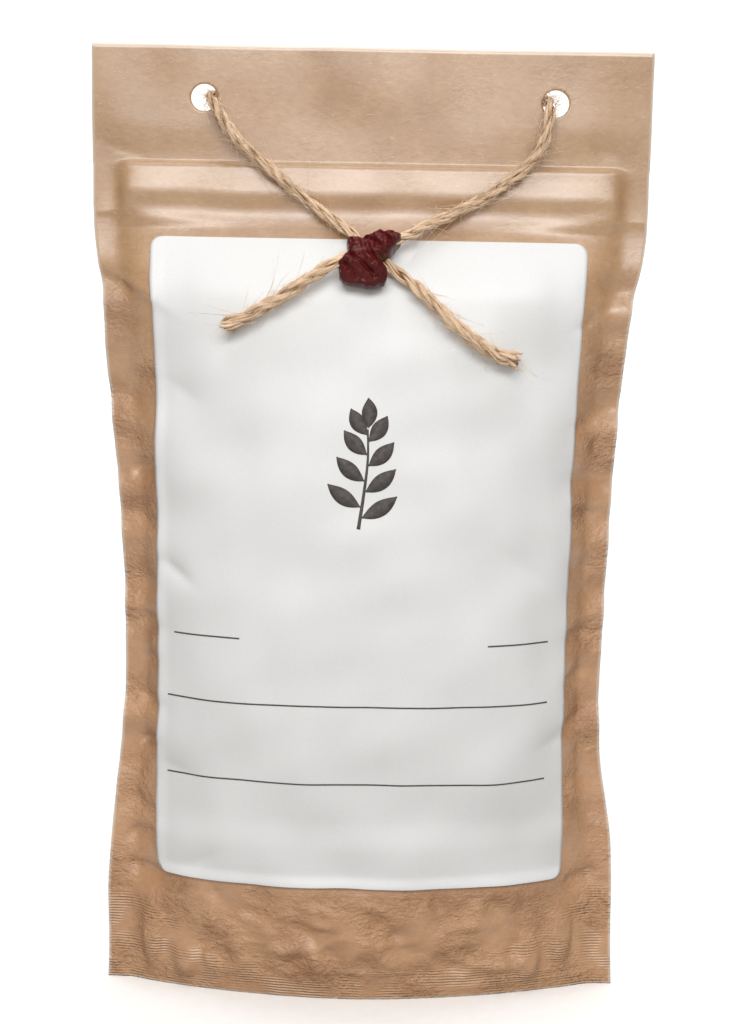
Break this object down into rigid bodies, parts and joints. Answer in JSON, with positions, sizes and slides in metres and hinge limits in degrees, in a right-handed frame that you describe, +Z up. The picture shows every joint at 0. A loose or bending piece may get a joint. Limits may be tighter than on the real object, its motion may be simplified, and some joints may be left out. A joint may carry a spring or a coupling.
{
  "type": "filled kraft paper stand-up pouch",
  "caption": "Filled kraft paper stand-up pouch with a press-to-close zip, a blank front label, jute twine through punched header holes and a wax seal over its crossing.",
  "frame": {"origin": "on the standing surface, at the middle of the pouch's base", "axes": "+Z up along the pouch, the labelled front faces -Y, +X to the right for someone looking at the front"},
  "size_m": [0.13, 0.0374, 0.226],
  "materials": {
    "kraft_paper": "uncoated brown kraft paper with fine horizontal fibres",
    "zip_plastic": "natural translucent polyethylene, drawn opaque",
    "cut_root": "dry, fibrous, yellow inside with brown bark",
    "label_paper": "white semi-matt self-adhesive label paper",
    "jute_twine": "hairy natural jute, plies twisted together",
    "sealing_wax": "dark red sealing wax, half gloss, pressed ridges"
  },
  "bodies": {
    "root": {"pouch_front_panel": "kraft_paper", "pouch_back_panel": "kraft_paper", "bottom_gusset": "kraft_paper", "zip_groove_strip": "zip_plastic", "zip_rib_strip": "zip_plastic", "root_fill": "cut_root", "label": "label_paper", "twine": "jute_twine", "wax_seal": "sealing_wax"}
  },
  "joints": []
}
